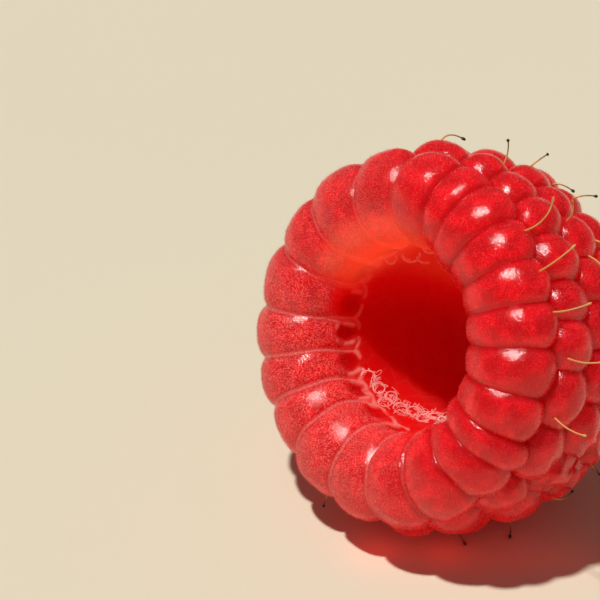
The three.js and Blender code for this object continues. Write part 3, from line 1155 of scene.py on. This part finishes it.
class RASPBERRY_OT_styles(bpy.types.Operator):
    """Grows the dried styles: the photographed ones, and others round the back."""

    bl_idname = "raspberry.styles"
    bl_label = "Dried styles"

    def execute(self, context):
        looks = context.scene.raspberry_looks
        skin = skin_of("raspberry_flesh")
        eye = camera_place()[0]
        back = view_axes()[0]
        thickness = looks.style_thickness / MM
        paths = []
        for *pixels, dryness in SEEN_STYLES:
            root, normal = seen_spot(skin, pixels[0])
            if pixels[0] in UNDER_STYLES:
                start, line = pixel_ray(pixels[0])
                root, normal = self.far_side(skin, root, line)
            length = math.dist(pixels[0], pixels[2]) / PIXELS_PER_MM
            rise = max(0.0, float(normal @ back)) * 0.6 * length
            depth = (root - eye) @ -back
            spots = [root]
            for pixel, share in ((pixels[1], 0.7), (pixels[2], 1.0)):
                start, line = pixel_ray(pixel)
                reach = (depth - rise * share) / (line @ -back)
                if line[2] < 0:
                    reach = min(reach, (STYLE_CLEARANCE - start[2]) / line[2])
                spots.append(start + line * reach)
            middle = 2 * spots[1] - (spots[0] + spots[2]) / 2
            paths.append((spots[0] - 0.15 * normal, middle, spots[2], dryness))
        paths += self.hidden_paths(skin, eye, back)
        tubes = [style_tube(*path, thickness) for path in paths]
        mesh = joined_tubes("raspberry_styles", [rings for rings, _ in tubes])
        paint(mesh, "along", np.concatenate([along for _, along in tubes]))
        mesh.materials.append(style_material(looks))
        styles = new_object("raspberry_styles", mesh)
        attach(styles, "root")
        return {"FINISHED"}

    def far_side(self, skin, spot, line):
        """Where a sight line that meets the skin at a spot comes out of the berry again."""
        out, way = spot, line
        while True:
            hit, normal, _, _ = skin.ray_cast(Vector(out + 0.01 * line), Vector(line))
            if hit is None:
                return out, way
            out, way = np.array(hit), np.array(normal)

    def hidden_paths(self, skin, eye, back):
        """Styles of the drupelets that the photograph doesn't show."""
        draw = np.random.default_rng(41)
        paths = []
        for row, (latitude, count) in enumerate(ROWS):
            for index in range(count):
                place = ROW_SHIFT * row + index * len(row_creases) / count
                azimuth = azimuth_at(row_creases, place + draw.uniform(-0.2, 0.2))
                lean = math.radians(min(latitude + draw.uniform(3, 6), 90))
                outward = around_axis(math.cos(lean), azimuth, -math.sin(lean)) @ berry_axes
                lengths, turn = draw.uniform(1.6, 3.2), draw.normal(size=(2, 3))
                if draw.uniform() > 0.8:
                    continue
                start = BODY_CENTRE + outward * 20
                root, normal, _, _ = skin.ray_cast(Vector(start), Vector(-outward))
                if root is None or root.z < 0.6:
                    continue
                root, normal = np.array(root), np.array(normal)
                reach = normal + 0.45 * turn[0]
                reach /= np.linalg.norm(reach)
                bend = reach + 0.8 * turn[1] / np.linalg.norm(turn[1])
                middle = root + 0.55 * lengths * reach
                tip = middle + 0.5 * lengths * bend / np.linalg.norm(bend)
                tip[2] = max(tip[2], STYLE_CLEARANCE)
                middle[2] = max(middle[2], STYLE_CLEARANCE)
                if not self.in_picture(skin, eye, root + 0.3 * normal, tip):
                    paths.append((root - 0.15 * normal, middle, tip, draw.uniform(0.8, 1)))
        return paths

    def in_picture(self, skin, eye, root, tip):
        """Whether the photograph's frame holds a style that the berry doesn't hide."""
        for share in (0.0, 0.5, 1.0):
            spot = root + share * (tip - root)
            line = spot - eye
            distance = np.linalg.norm(line)
            hit = skin.ray_cast(Vector(eye), Vector(line / distance), distance)[0]
            if hit is None and picture_column(spot) < PICTURE_SIZE:
                return True
        return False


class RASPBERRY_OT_stage(bpy.types.Operator):
    """Lays the floor and sets the light and the camera."""

    bl_idname = "raspberry.stage"
    bl_label = "Stage"

    def execute(self, context):
        looks = context.scene.raspberry_looks
        half = 800
        corners = [(x, y, 0) for x, y in ((-half, -half), (half, -half), (half, half),
                                          (-half, half))]
        floor = new_object("stage_floor", new_mesh("stage_floor", corners, [(0, 1, 2, 3)]))
        floor.data.materials.append(floor_material(looks))

        sun = bpy.data.lights.new("key_light", "SUN")
        sun.energy = looks.sun_strength
        sun.angle = math.radians(3)
        sun.color = (1.0, 0.97, 0.92)
        key = bpy.data.objects.new("key_light", sun)
        context.scene.collection.objects.link(key)
        to_light = Vector((-0.018, -0.28, 0.96))
        key.rotation_euler = to_light.to_track_quat("Z", "Y").to_euler()

        # The sun shines through the flesh and reddens the shade beside the berry
        for index, (place, size, share) in enumerate(GLOWS):
            glow = bpy.data.lights.new(f"flesh_glow_{index}", "AREA")
            glow.shape = "RECTANGLE"
            glow.size, glow.size_y = size[0] * MM, size[1] * MM
            glow.energy = looks.glow_power * share
            glow.color = (1.0, 0.02, 0.01)
            under = bpy.data.objects.new(glow.name, glow)
            context.scene.collection.objects.link(under)
            under.location = Vector(place) * MM
            under.rotation_euler = (0, 0, math.radians(VIEW_AZIMUTH))
            under.visible_camera = False
            under.visible_glossy = False

        world = bpy.data.worlds.new("soft_light")
        world.use_nodes = True
        background = world.node_tree.nodes["Background"]
        background.inputs["Color"].default_value = (0.98, 0.96, 0.92, 1)
        background.inputs["Strength"].default_value = looks.sky_strength
        context.scene.world = world
        context.scene.view_settings.view_transform = "Standard"

        lens = bpy.data.cameras.new("camera")
        lens.sensor_width = 36
        lens.lens = PIXELS_PER_MM * VIEW_DISTANCE / PICTURE_SIZE * lens.sensor_width
        lens.clip_start = 0.005
        lens.clip_end = 10
        camera = bpy.data.objects.new("camera", lens)
        context.scene.collection.objects.link(camera)
        eye, target = camera_place()
        camera.location = Vector(eye * MM)
        aim = Vector((eye - target).tolist())
        camera.rotation_euler = aim.to_track_quat("Z", "Y").to_euler()
        context.scene.camera = camera
        return {"FINISHED"}


class RASPBERRY_PT_panel(bpy.types.Panel):
    """Lists the raspberry's values and pieces."""

    bl_idname = "RASPBERRY_PT_panel"
    bl_label = "Raspberry"
    bl_space_type = "VIEW_3D"
    bl_region_type = "UI"
    bl_category = "Raspberry"

    def draw(self, context):
        looks = context.scene.raspberry_looks
        for name in RaspberryLooks.__annotations__:
            self.layout.prop(looks, name)
        for piece in PIECES:
            self.layout.operator(piece.bl_idname)


PIECES = (RASPBERRY_OT_stage, RASPBERRY_OT_flesh, RASPBERRY_OT_down, RASPBERRY_OT_fluff,
          RASPBERRY_OT_styles)
CLASSES = (RaspberryLooks,) + PIECES + (RASPBERRY_PT_panel,)


def register():
    for each in CLASSES:
        bpy.utils.register_class(each)
    bpy.types.Scene.raspberry_looks = bpy.props.PointerProperty(type=RaspberryLooks)


def unregister():
    del bpy.types.Scene.raspberry_looks
    for each in reversed(CLASSES):
        bpy.utils.unregister_class(each)


def main():
    register()
    bpy.ops.raspberry.stage()
    bpy.ops.raspberry.flesh()
    bpy.ops.raspberry.down()
    bpy.ops.raspberry.fluff()
    bpy.ops.raspberry.styles()


if __name__ == "__main__":
    main()
